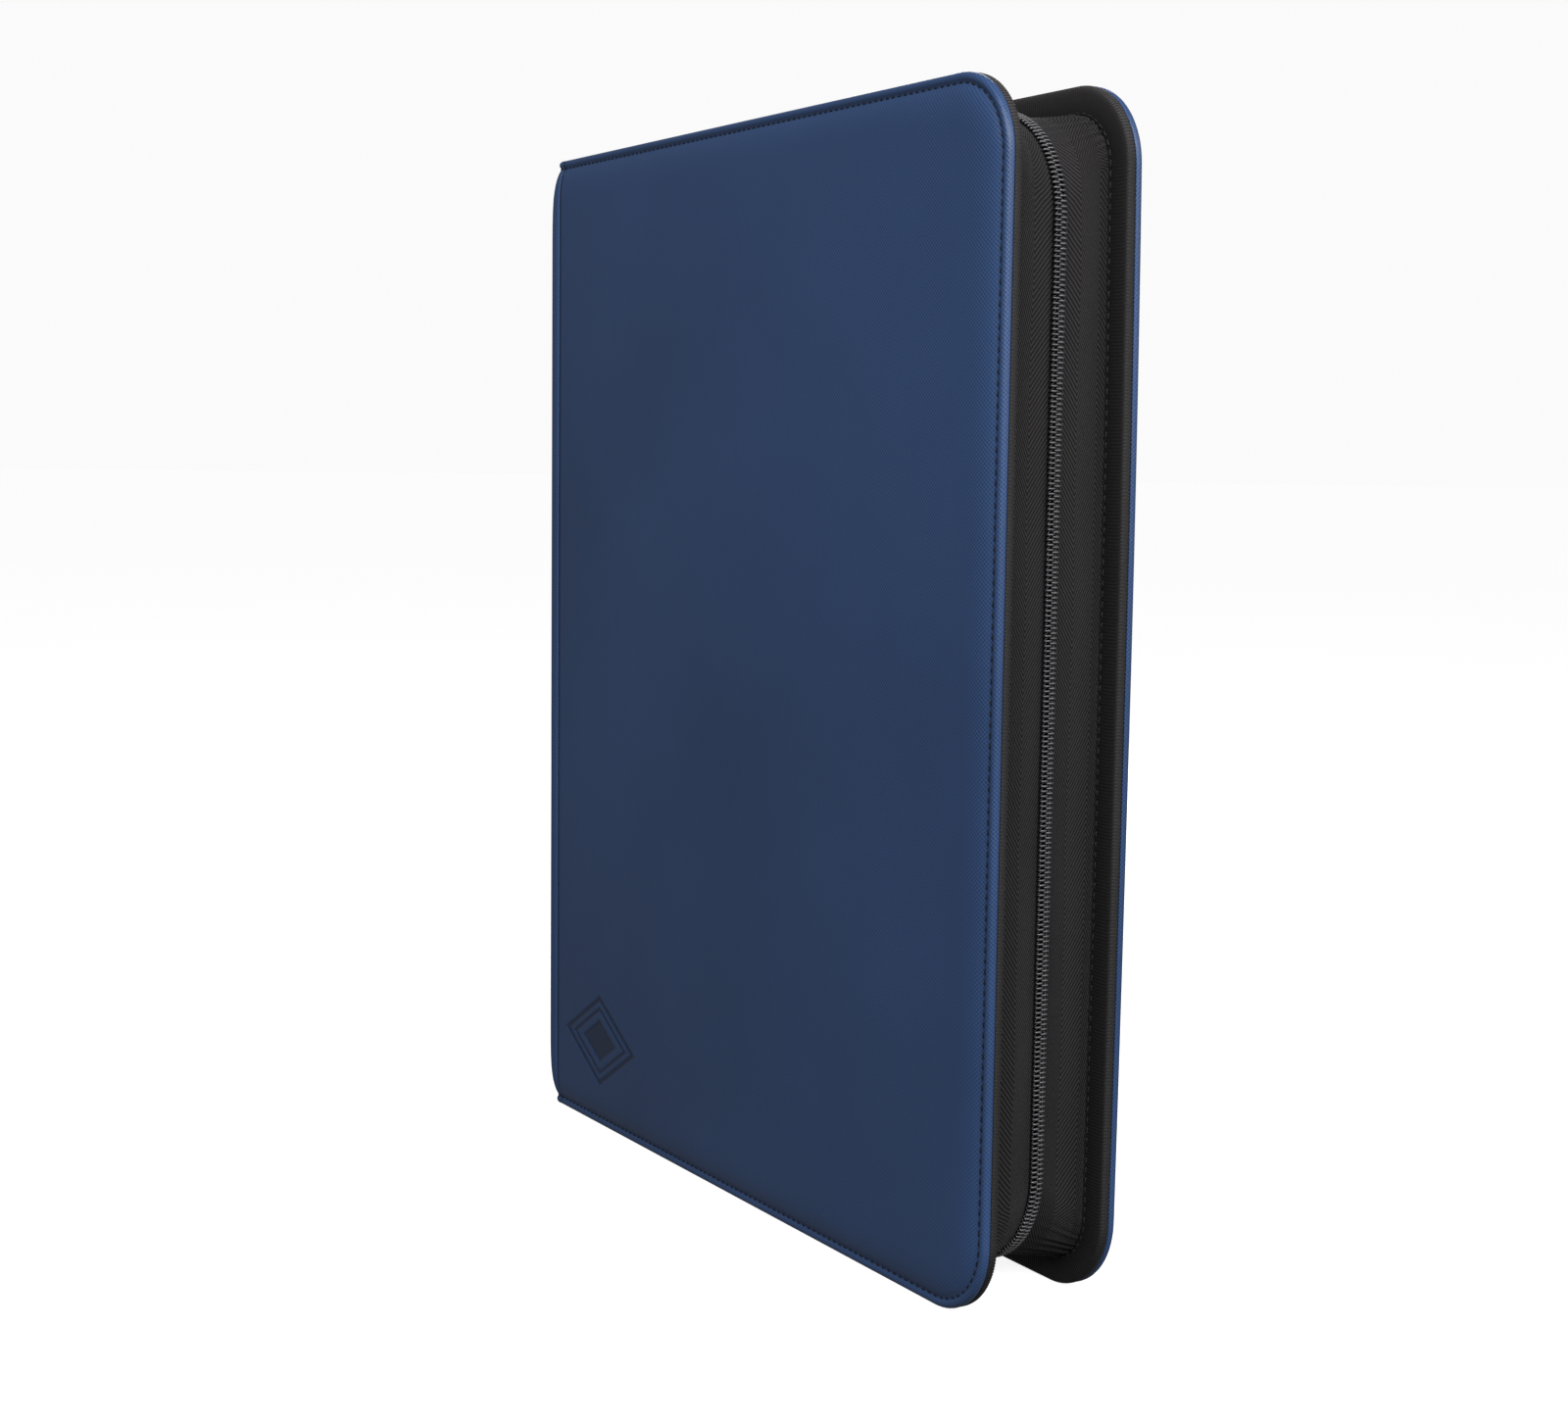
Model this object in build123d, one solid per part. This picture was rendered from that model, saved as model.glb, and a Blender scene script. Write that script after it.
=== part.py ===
from build123d import *
import os

# A zip-around binder for cards in rigid holders, standing on its bottom edges, in millimetres.
# +X runs from the spine to the fore-edge, +Y from the front cover to the back cover, +Z up.
# The origin is the centre of the footprint, on the surface that the binder stands on.

HEIGHT = 370.0
WIDTH = 290.0
THICKNESS = 51.0
CORNER_RADIUS = 25.0  # of the covers, at the fore-edge
HINGE_RADIUS = 6.0  # of the leather as it turns from the spine into a cover
RIGHT = WIDTH / 2
LEFT = -WIDTH / 2
FRONT = -THICKNESS / 2
HINGE_X = LEFT + HINGE_RADIUS  # where a cover's stiff part begins
SPINE_HALF = THICKNESS / 2 - HINGE_RADIUS  # half the width of the spine's stiff part

# The layers of a cover and of the spine, from the outside in.
SKIN = 1.0
FOAM = 1.8
BOARD = 2.2
LINING = 0.6
COVER = SKIN + FOAM + BOARD + LINING
RIM_WALL = 1.5  # of the leather and the binding where they wrap round an edge
RIM_DEPTH = 2.8  # how far the leather wraps round before the binding takes over
RIM_ROUND = 1.0  # of the leather's outer edge
INNER_FACE = FRONT + COVER  # of the front cover

# The zip runs round three sides, set in from the covers' edges.
ZIP_INSET = 9.5
ZIP_CORNER_RADIUS = 32.0
ZIP_START_X = LEFT + 9.0
TAPE = 1.0
TAPE_EDGE = 0.8  # from the middle plane to each tape's inner edge
COIL_NEAR = 0.6  # from the middle plane to each coil's near and far sides
COIL_FAR = 2.9
COIL_HEIGHT = 2.4
COIL_ROUND = 0.7
TAPE_FACE = HEIGHT - ZIP_INSET  # the outer face of the tape along the top edge

# The slider is parked at the spine end of the top edge. The front half of the chain and
# of its tape start past it, so that the front cover can leave it.
SLIDER_X = LEFT + 37.0
SLIDER_LENGTH = 12.0
SLIDER_HALF = 4.6
SLIDER_TAIL_HALF = 4.0  # the plates narrow from the nose, by the spine, to the tail
SLIDER_PLATE = 1.2
SLIDER_GAP = 0.3
SLIDER_ROUND = 0.9  # of the plates' corners, seen from above
SLIDER_MOUTH = 0.4  # between the tape and the slider's flanges
POST_HALF = 0.3
POST_LENGTH = 3.0
NOTCH_HALF = 5.0
NOTCH_END_X = SLIDER_X + 10.5
PIN_RADIUS = 0.8
PIN_CLEARANCE = 0.3
PIN_RISE = 1.3  # of the puller's pin above the slider's outer plate
BRIDGE_HALF = 0.8
BRIDGE_LENGTH = 6.0
BRIDGE_RISE = 3.3
PULL_THICKNESS = 1.2
PULL_LENGTH = 30.0
PULL_WIDTH = 8.0
PULL_WINDOW = 3.8  # half the length of the window that turns round the bridge
PULL_ARM_GAP = 1.3  # half the width of that window
PULL_HOLE_RADIUS = 1.9
SLIDER_TOP = TAPE_FACE + COIL_HEIGHT + SLIDER_GAP + SLIDER_PLATE

# The pages hinge on leaders that stand on a base strip glued to the spine's lining.
PAGES = 8
PAGE_PITCH = 4.6
PAGE_BACKING = 0.5
BASE = 1.0
BASE_HALF = 17.5
BASE_X = LEFT + COVER  # the spine's inner face
PAGE_HINGE_X = BASE_X + 5.5
PAGE_START_X = PAGE_HINGE_X + 4.0
POCKETS_START_X = PAGE_HINGE_X + 15.0
PAGE_END_X = 125.5
PAGE_MARGIN_Z = 19.5  # from the binder's bottom and top to the page's
PAGE_BOTTOM = PAGE_MARGIN_Z
PAGE_TOP = HEIGHT - PAGE_MARGIN_Z
PAGE_CORNER_RADIUS = 6.0
COLUMNS = 3
ROWS = 3
FILM = 0.2
POCKET_GAP = 1.7  # between the film and the backing
WELD = 2.0
SLIT = 0.4  # between a pocket's film and the next, where a holder slides in
COLUMN_PITCH = (PAGE_END_X - POCKETS_START_X) / COLUMNS
ROW_PITCH = (PAGE_TOP - PAGE_BOTTOM - WELD) / ROWS

GUSSET_END_X = ZIP_START_X - 0.6


def block(x, y, z):
    """A box between two limits along each axis."""
    size = [high - low for low, high in (x, y, z)]
    middle = [(low + high) / 2 for low, high in (x, y, z)]
    return Pos(*middle) * Box(*size)


def rounded_panel(left, inset, radius):
    """An upright outline with its two fore-edge corners rounded, drawn in X and Z."""
    right = RIGHT - inset
    outline = Pos((left + right) / 2, HEIGHT / 2) * Rectangle(right - left, HEIGHT - 2 * inset)
    return fillet(outline.vertices().sort_by(Axis.X)[-2:], radius)


def cover_outline(inset):
    return rounded_panel(HINGE_X, inset, CORNER_RADIUS - inset)


def zip_outline(left, inset):
    """The loop of the zip, or one beside it at another inset from the covers' edges."""
    return rounded_panel(left, inset, ZIP_CORNER_RADIUS - (inset - ZIP_INSET))


def stand_up(outline, y_low, y_high):
    """Extrude an outline drawn in X and Z between two Y limits."""
    return Pos(0, y_high, 0) * Rot(90, 0, 0) * extrude(outline, y_high - y_low)


def free_edges(shape, y):
    """The edges that lie at one Y, but for the straight one along the hinge."""
    flat = shape.edges().filter_by_position(Axis.Y, y - 0.01, y + 0.01)
    return [edge for edge in flat if edge.center().X > HINGE_X + 1]


def cover_skin():
    face = stand_up(cover_outline(0), FRONT, FRONT + SKIN)
    rim = stand_up(cover_outline(0) - cover_outline(RIM_WALL), FRONT + SKIN, FRONT + RIM_DEPTH)
    skin = face + rim
    return fillet(free_edges(skin, FRONT), RIM_ROUND)


def cover_foam():
    return stand_up(cover_outline(RIM_WALL), FRONT + SKIN, FRONT + SKIN + FOAM)


def cover_board():
    return stand_up(cover_outline(RIM_WALL), FRONT + SKIN + FOAM, INNER_FACE - LINING)


def cover_lining():
    return stand_up(zip_outline(HINGE_X, ZIP_INSET), INNER_FACE - LINING, INNER_FACE)


def cover_edge_binding():
    """The ribbed tape that closes the cover's edge and runs in to the zip."""
    band = cover_outline(0) - cover_outline(RIM_WALL)
    margin = cover_outline(0) - zip_outline(HINGE_X, ZIP_INSET)
    edge = stand_up(band, FRONT + RIM_DEPTH, INNER_FACE - LINING)
    return edge + stand_up(margin, INNER_FACE - LINING, INNER_FACE)


def zip_tape():
    loop = zip_outline(ZIP_START_X, ZIP_INSET) - zip_outline(ZIP_START_X, ZIP_INSET + TAPE)
    return stand_up(loop, INNER_FACE, -TAPE_EDGE)


def zip_coil():
    """Half of the closed chain, as the plain bead that its coil fills."""
    loop = zip_outline(ZIP_START_X, ZIP_INSET - COIL_HEIGHT) - zip_outline(ZIP_START_X, ZIP_INSET)
    return stand_up(loop, -COIL_FAR, -COIL_NEAR)


def past_the_slider(shape):
    """Cut back the front half along the top edge, clear of the parked slider."""
    return shape - block((LEFT, NOTCH_END_X), (-NOTCH_HALF, 0), (TAPE_FACE - 5, HEIGHT))


def hinge_strip():
    """The leather that turns from the spine into the front cover, a quarter round."""
    corner = Pos(HINGE_X, -SPINE_HALF)
    ring = Circle(HINGE_RADIUS) - Circle(HINGE_RADIUS - SKIN)
    quarter = Pos(-HINGE_RADIUS / 2, -HINGE_RADIUS / 2) * Rectangle(HINGE_RADIUS, HINGE_RADIUS)
    return extrude(corner * (ring & quarter), HEIGHT)


def spine_layer(depth, thickness, margin):
    """One flat layer of the spine, from a depth under its outer face."""
    x = (LEFT + depth, LEFT + depth + thickness)
    return block(x, (-SPINE_HALF, SPINE_HALF), (margin, HEIGHT - margin))


def both_ends(make):
    """The same piece at the binder's bottom and top."""
    low = make()
    return low, Pos(0, 0, HEIGHT / 2) * mirror(Pos(0, 0, -HEIGHT / 2) * low, about=Plane.XY)


def spine_rim():
    x = (LEFT + SKIN, LEFT + RIM_DEPTH)
    return block(x, (-SPINE_HALF, SPINE_HALF), (0, RIM_WALL))


def spine_skin():
    skin = spine_layer(0, SKIN, 0)
    for rim in both_ends(spine_rim):
        skin += rim
    return skin


def spine_edge_binding():
    y = (-SPINE_HALF, SPINE_HALF)
    edge = block((LEFT + RIM_DEPTH, BASE_X - LINING), y, (0, RIM_WALL))
    return edge + block((BASE_X - LINING, BASE_X), y, (0, ZIP_INSET))


def gusset_end():
    """The fabric that closes the gap between the spine and the ends of the zip tapes."""
    z = (ZIP_INSET, ZIP_INSET + TAPE)
    return block((BASE_X, GUSSET_END_X), (-SPINE_HALF, SPINE_HALF), z)


def binding_base():
    return block((BASE_X, BASE_X + BASE), (-BASE_HALF, BASE_HALF), (PAGE_BOTTOM, PAGE_TOP))


def page_y(number):
    """Page 1 lies next to the front cover, and the last one next to the back cover."""
    return (number - (PAGES + 1) / 2) * PAGE_PITCH


def page_leader(y):
    half = PAGE_BACKING / 2
    return block((BASE_X + BASE, PAGE_START_X), (y - half, y + half), (PAGE_BOTTOM, PAGE_TOP))


def page_outline():
    middle = Pos((PAGE_START_X + PAGE_END_X) / 2, HEIGHT / 2)
    outline = middle * Rectangle(PAGE_END_X - PAGE_START_X, PAGE_TOP - PAGE_BOTTOM)
    return fillet(outline.vertices().sort_by(Axis.X)[-2:], PAGE_CORNER_RADIUS)


def page_backing(y):
    return stand_up(page_outline(), y - PAGE_BACKING / 2, y + PAGE_BACKING / 2)


def page_pockets(y, side):
    """The pockets of one face of a page: clear films, held off the backing by welds."""
    near = y + side * PAGE_BACKING / 2
    far = near + side * POCKET_GAP
    weld_y = sorted((near, far))
    film_y = sorted((far, far + side * FILM))
    solids = []
    for row in range(ROWS + 1):
        z = PAGE_BOTTOM + row * ROW_PITCH
        solids.append(block((POCKETS_START_X, PAGE_END_X), weld_y, (z, z + WELD)))
    for column in range(COLUMNS):
        end_x = POCKETS_START_X + (column + 1) * COLUMN_PITCH
        film_x = (end_x - COLUMN_PITCH + SLIT, end_x)
        solids.append(block(film_x, film_y, (PAGE_BOTTOM, PAGE_TOP)))
        for row in range(ROWS):
            z = PAGE_BOTTOM + row * ROW_PITCH
            solids.append(block((end_x - WELD, end_x), weld_y, (z + WELD, z + ROW_PITCH)))
    trim = stand_up(page_outline(), -THICKNESS / 2, THICKNESS / 2)
    return [solid & trim for solid in solids]


def slider_outline():
    """The slider seen from above: a wide nose towards the spine and a narrower tail."""
    nose, tail = SLIDER_X - SLIDER_LENGTH / 2, SLIDER_X + SLIDER_LENGTH / 2
    outline = Polygon(
        (nose, -SLIDER_HALF),
        (SLIDER_X, -SLIDER_HALF),
        (tail, -SLIDER_TAIL_HALF),
        (tail, SLIDER_TAIL_HALF),
        (SLIDER_X, SLIDER_HALF),
        (nose, SLIDER_HALF),
        align=None,
    )
    return fillet(outline.vertices(), SLIDER_ROUND)


def slider_body():
    """Two plates round the chain, their flanges and post, and the bridge for the puller."""
    x = (SLIDER_X - SLIDER_LENGTH / 2, SLIDER_X + SLIDER_LENGTH / 2)
    under = SLIDER_TOP - SLIDER_PLATE
    inner = TAPE_FACE - TAPE - SLIDER_GAP
    flange_near = COIL_FAR + SLIDER_MOUTH
    channel_top = TAPE_FACE + SLIDER_MOUTH
    body = Pos(0, 0, inner - SLIDER_PLATE) * extrude(slider_outline(), SLIDER_TOP - inner + SLIDER_PLATE)
    body -= block(x, (-flange_near, flange_near), (inner, under))
    body -= block(x, (-SLIDER_HALF, SLIDER_HALF), (inner, channel_top))
    body += block((x[0], x[0] + POST_LENGTH), (-POST_HALF, POST_HALF), (inner, under))
    bridge_x = (SLIDER_X - BRIDGE_LENGTH / 2, SLIDER_X + BRIDGE_LENGTH / 2)
    bridge = block(bridge_x, (-BRIDGE_HALF, BRIDGE_HALF), (SLIDER_TOP, SLIDER_TOP + BRIDGE_RISE))
    bridge = fillet(bridge.edges().filter_by(Axis.Y).group_by(Axis.Z)[-1], 1.5)
    hole = puller_axis() * Cylinder(PIN_RADIUS + PIN_CLEARANCE, 4 * BRIDGE_HALF)
    return body + (bridge - hole)


def puller_axis():
    """The middle of the puller's pin, with the local Z axis along it."""
    return Pos(SLIDER_X, 0, SLIDER_TOP + PIN_RISE) * Rot(90, 0, 0)


def pull_tab():
    """A flat tab whose two arms and pin hang in the slider's bridge."""
    z = SLIDER_TOP + PIN_RISE
    thick = (z - PULL_THICKNESS / 2, z + PULL_THICKNESS / 2)
    half = PULL_WIDTH / 2
    tab = block((SLIDER_X + PULL_WINDOW, SLIDER_X + PULL_LENGTH), (-half, half), thick)
    tab = fillet(tab.edges().filter_by(Axis.Z).group_by(Axis.X)[-1], half - 0.2)
    hole_x = SLIDER_X + PULL_LENGTH - half
    tab -= Pos(hole_x, 0, z) * Cylinder(PULL_HOLE_RADIUS, 4 * PULL_THICKNESS)
    arm_far = PULL_ARM_GAP + 1.8
    for arm_y in ((-arm_far, -PULL_ARM_GAP), (PULL_ARM_GAP, arm_far)):
        tab += block((SLIDER_X - PULL_THICKNESS / 2, SLIDER_X + PULL_WINDOW), arm_y, thick)
    return tab + puller_axis() * Cylinder(PIN_RADIUS, 2 * arm_far)


def save(node, *solids):
    """Write one node's solids to its own file."""
    shape = solids[0] if len(solids) == 1 else Compound(list(solids))
    export_step(shape, f"parts/{node}.step")


def back_of(shape):
    """The back cover's piece that matches one of the front cover's."""
    return mirror(shape, about=Plane.XZ)


def save_covers():
    layers = {
        "skin": cover_skin(),
        "foam": cover_foam(),
        "board": cover_board(),
        "lining": cover_lining(),
        "edge_binding": cover_edge_binding(),
    }
    for name, shape in layers.items():
        save(f"front_{name}", shape)
        save(f"back_{name}", back_of(shape))
    for name, shape in (("zip_tape", zip_tape()), ("zip_coil", zip_coil())):
        save(f"front_{name}", past_the_slider(shape))
        save(f"back_{name}", back_of(shape))


def save_spine():
    save("spine_skin", spine_skin())
    save("spine_foam", spine_layer(SKIN, FOAM, RIM_WALL))
    save("spine_board", spine_layer(SKIN + FOAM, BOARD, RIM_WALL))
    save("spine_lining", spine_layer(COVER - LINING, LINING, ZIP_INSET))
    save("spine_edge_bindings", *both_ends(spine_edge_binding))
    save("gusset_ends", *both_ends(gusset_end))
    save("binding_base", binding_base())
    save("front_hinge_strip", hinge_strip())
    save("back_hinge_strip", back_of(hinge_strip()))


def save_pages():
    for number in range(1, PAGES + 1):
        y = page_y(number)
        save(f"page_{number}_leader", page_leader(y))
        save(f"page_{number}_backing", page_backing(y))
        save(f"page_{number}_front_pockets", *page_pockets(y, -1))
        save(f"page_{number}_back_pockets", *page_pockets(y, 1))


os.makedirs("parts", exist_ok=True)
save_covers()
save_spine()
save_pages()
save("slider_body", slider_body())
save("pull_tab", pull_tab())
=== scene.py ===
import math

import bmesh
import bpy
import numpy as np
from mathutils import Matrix, Vector


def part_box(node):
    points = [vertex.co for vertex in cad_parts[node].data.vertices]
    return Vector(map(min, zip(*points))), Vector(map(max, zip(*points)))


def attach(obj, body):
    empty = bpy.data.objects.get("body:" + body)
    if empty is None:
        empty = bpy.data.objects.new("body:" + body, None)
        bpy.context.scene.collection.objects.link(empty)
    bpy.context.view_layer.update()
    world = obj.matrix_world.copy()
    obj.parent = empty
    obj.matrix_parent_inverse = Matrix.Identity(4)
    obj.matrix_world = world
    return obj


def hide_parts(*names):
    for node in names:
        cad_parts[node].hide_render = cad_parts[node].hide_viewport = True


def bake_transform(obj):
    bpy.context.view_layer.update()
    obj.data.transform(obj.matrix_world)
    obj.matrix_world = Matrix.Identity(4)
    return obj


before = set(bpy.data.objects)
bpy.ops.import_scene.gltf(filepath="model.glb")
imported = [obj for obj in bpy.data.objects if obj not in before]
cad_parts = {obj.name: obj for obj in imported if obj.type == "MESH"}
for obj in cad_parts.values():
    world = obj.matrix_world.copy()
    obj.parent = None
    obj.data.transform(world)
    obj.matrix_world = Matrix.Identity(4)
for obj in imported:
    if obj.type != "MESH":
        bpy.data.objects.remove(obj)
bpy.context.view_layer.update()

# The binder's looks: stitched and padded leather covers, ribbed edge bindings, a woven zip
# gusset with real coils, and pages of clear pockets. Shapes are worked out in millimetres,
# in the CAD frame, and scaled to metres as each mesh is made.

MM = 0.001


# ---------------------------------------------------------------- sizes, from the frame


def span(node):
    """A CAD node's lowest and highest corners, in millimetres."""
    return [np.array(corner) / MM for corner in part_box(node)]


COVER_LOW, COVER_HIGH = span("front_skin")
SPINE_LOW, SPINE_HIGH = span("spine_skin")
LINING_LOW, LINING_HIGH = span("front_lining")
TAPE_LOW, _ = span("back_zip_tape")
HINGE_X, RIGHT, HEIGHT = COVER_LOW[0], COVER_HIGH[0], COVER_HIGH[2]
LEFT, SPINE_HALF = SPINE_LOW[0], SPINE_HIGH[1]
HALF_THICKNESS = -COVER_LOW[1]
HINGE_RADIUS = HINGE_X - LEFT
COVER_THICKNESS = LINING_HIGH[1] - COVER_LOW[1]
COVER_RADIUS = 25.0
ZIP_INSET = TAPE_LOW[2]
ZIP_RADIUS = 32.0
TAPE_FOOT_RADIUS = COVER_RADIUS - ZIP_INSET
FRONT_SIDE, BACK_SIDE = -1, 1

# Pitches of what repeats.
STITCH_PITCH = 3.18
STITCH_LENGTH = 2.5
STITCH_RADIUS = 0.33
RIB_PITCH = 1.04
RIB_DEPTH = 0.3
COIL_PITCH = 1.5
COIL_HALF_HEIGHT = 0.62

# Cross-sections near an edge, as (inset from the edge, depth under the outer face).
# The leather tucks under the binding, rolls over a soft rim, dips at the stitches and
# rises on to the padding.
STITCH_INSET = 3.1
INSIDE_SEAM_INSET = 8.3
PAD_INSET = 14.0
LEATHER_EDGE = (
    (0.50, 2.70),
    (0.16, 2.55),
    (0.02, 2.10),
    (0.00, 1.55),
    (0.08, 1.05),
    (0.30, 0.58),
    (0.66, 0.22),
    (1.10, 0.03),
    (1.55, -0.02),
    (2.00, 0.08),
    (2.40, 0.30),
    (2.75, 0.55),
    (STITCH_INSET, 0.66),
    (3.45, 0.56),
    (3.90, 0.32),
    (4.50, 0.02),
    (5.40, -0.32),
    (6.80, -0.70),
    (8.80, -1.04),
    (11.2, -1.26),
    (PAD_INSET, -1.38),
)
LEATHER_CROWN = 0.5
TOP_SAG, BOTTOM_SAG = 2.0, 0.7
SPINE_CROWN = 0.35
HINGE_FILL = 2.0
BINDING_EDGE = (
    (1.40, 2.80),
    (0.42, 2.72),
    (0.10, 2.95),
    (0.02, 3.50),
    (0.01, 4.20),
    (0.09, 4.90),
    (0.40, 5.45),
    (1.10, 5.78),
    (2.40, 5.84),
    (5.00, 5.86),
    (7.50, 5.82),
    (INSIDE_SEAM_INSET, 5.70),
    (9.00, 5.76),
    (9.45, 5.55),
    (9.45, 5.05),
)
LINING_EDGE = ((9.3, 5.05), (9.3, 5.45), (9.9, 5.6), (11.5, 5.66), (PAD_INSET, 5.7))


# ---------------------------------------------------------------- mesh helpers


def build(name, points, faces, material, uv=None):
    """A smooth closed mesh from points in millimetres, with the pattern's coordinates."""
    mesh = bpy.data.meshes.new(name)
    mesh.from_pydata((np.asarray(points, float) * MM).tolist(), [], faces)
    if uv is not None:
        corners = np.empty(len(mesh.loops), np.int32)
        mesh.loops.foreach_get("vertex_index", corners)
        layer = mesh.uv_layers.new(name="pattern")
        layer.data.foreach_set("uv", (np.asarray(uv, float) * MM)[corners].ravel())
    work = bmesh.new()
    work.from_mesh(mesh)
    bmesh.ops.recalc_face_normals(work, faces=work.faces)
    work.to_mesh(mesh)
    work.free()
    mesh.polygons.foreach_set("use_smooth", [len(f) <= 4 for f in faces])
    mesh.materials.append(material)
    piece = bpy.data.objects.new(name, mesh)
    bpy.context.collection.objects.link(piece)
    return piece


def grid_faces(rows, columns, closed=False):
    """The quads of a grid of vertex numbers, its columns closed into a tube if asked."""
    wide = columns if closed else columns - 1
    return [
        [r * columns + c, r * columns + (c + 1) % columns,
         (r + 1) * columns + (c + 1) % columns, (r + 1) * columns + c]
        for r in range(rows - 1)
        for c in range(wide)
    ]


def tube(name, rings, material, uv=None):
    """Rings of points, (along, around, xyz), joined into one closed solid with end caps."""
    along, around = rings.shape[:2]
    faces = grid_faces(along, around, closed=True)
    faces.append(list(range(around))[::-1])
    faces.append(list(range((along - 1) * around, along * around)))
    flat_uv = None if uv is None else uv.reshape(-1, 2)
    return build(name, rings.reshape(-1, 3), faces, material, flat_uv)


def two_skins(rows, columns):
    """The faces of two grids of vertex numbers, one after the other, closed round their rim."""
    count = rows * columns
    faces = grid_faces(rows, columns)
    faces += [[v + count for v in face[::-1]] for face in faces]
    numbers = np.arange(count).reshape(rows, columns)
    rim = [*numbers[0], *numbers[1:, -1], *numbers[-1, -2::-1], *numbers[-2:0:-1, 0]]
    pairs = zip(rim, rim[1:] + rim[:1])
    return faces + [[int(a), int(a) + count, int(b) + count, int(b)] for a, b in pairs]


def join(parts):
    """One mesh out of several of (points, faces, uv), numbered one after another."""
    points, faces, uvs, start = [], [], [], 0
    for part_points, part_faces, part_uv in parts:
        points.append(part_points)
        uvs.append(part_uv)
        faces += [[start + v for v in face] for face in part_faces]
        start += len(part_points)
    return np.concatenate(points), faces, np.concatenate(uvs)


def steps(start, end, step):
    """Evenly spaced values from start to end, about a step apart."""
    return np.linspace(start, end, max(2, int(round(abs(end - start) / step)) + 1))


class Edge:
    """The covers' free outline: bottom edge, fore-edge and top edge, from hinge to hinge.

    Points are spaced once, and each inset has the same number of them, so that rings at
    different insets join into quads.
    """

    def __init__(self, run, low_corner, rise, high_corner, start_x=HINGE_X):
        self.run, self.low_corner, self.rise, self.high_corner = run, low_corner, rise, high_corner
        self.start_x = start_x

    def ring(self, inset, radius):
        """(x, z), the outward normals and the distance along, at an inset from the edge."""
        end_x, low, high = RIGHT - inset - radius, inset + radius, HEIGHT - inset - radius
        run_x = self.start_x + (end_x - self.start_x) * self.run
        flat = np.ones_like(run_x)
        down, up = self.low_corner[1:] * math.pi / 2, self.high_corner[1:] * math.pi / 2
        rise_z = low + (high - low) * self.rise[1:]
        points = np.concatenate([
            np.stack([run_x, flat * inset], 1),
            np.stack([end_x + radius * np.sin(down), low - radius * np.cos(down)], 1),
            np.stack([np.full_like(rise_z, RIGHT - inset), rise_z], 1),
            np.stack([end_x + radius * np.cos(up), high + radius * np.sin(up)], 1),
            np.stack([run_x, flat * (HEIGHT - inset)], 1)[::-1][1:],
        ])
        normals = np.concatenate([
            np.stack([0 * flat, -flat], 1),
            np.stack([np.sin(down), -np.cos(down)], 1),
            np.stack([np.ones_like(rise_z), 0 * rise_z], 1),
            np.stack([np.cos(up), np.sin(up)], 1),
            np.stack([0 * flat, flat], 1)[1:],
        ])
        gaps = np.linalg.norm(np.diff(points, axis=0), axis=1)
        return points, normals, np.concatenate([[0], np.cumsum(gaps)])

    def cover_ring(self, inset):
        return self.ring(inset, COVER_RADIUS - inset)


def even_edge(inset, radius, step, start_x=HINGE_X):
    """An Edge whose points are about a step apart when it is drawn at that inset."""
    run = RIGHT - inset - radius - start_x
    rise = HEIGHT - 2 * inset - 2 * radius
    corner = radius * math.pi / 2
    counts = [max(2, int(round(length / step)) + 1) for length in (run, corner, rise, corner)]
    return Edge(*[np.linspace(0, 1, count) for count in counts], start_x)


def sag(side, x, z):
    """How far the back cover's fore-edge corners lean in, mostly the upper one."""
    if side == FRONT_SIDE:
        return 0.0 * x
    reach = np.clip((x - HINGE_X) / (RIGHT - HINGE_X), 0, 1) ** 1.5
    height = z / HEIGHT * 2 - 1
    return reach * np.where(height > 0, TOP_SAG, BOTTOM_SAG) * height**2


def on_cover(side, xz, depth):
    """Points at a depth under a cover's outer face."""
    x, z = xz[:, 0], xz[:, 1]
    return np.stack([x, side * (HALF_THICKNESS - depth - sag(side, x, z)), z], 1)


def profile_normals(profile):
    """Unit normals of an (inset, depth) cross-section, pointing out of the material."""
    line = np.array(profile)
    tangent = np.gradient(line, axis=0)
    tangent /= np.linalg.norm(tangent, axis=1)[:, None]
    return np.stack([-tangent[:, 1], tangent[:, 0]], 1)


def profile_lengths(profile):
    gaps = np.linalg.norm(np.diff(np.array(profile), axis=0), axis=1)
    return np.concatenate([[0], np.cumsum(gaps)])


# ---------------------------------------------------------------- materials


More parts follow.
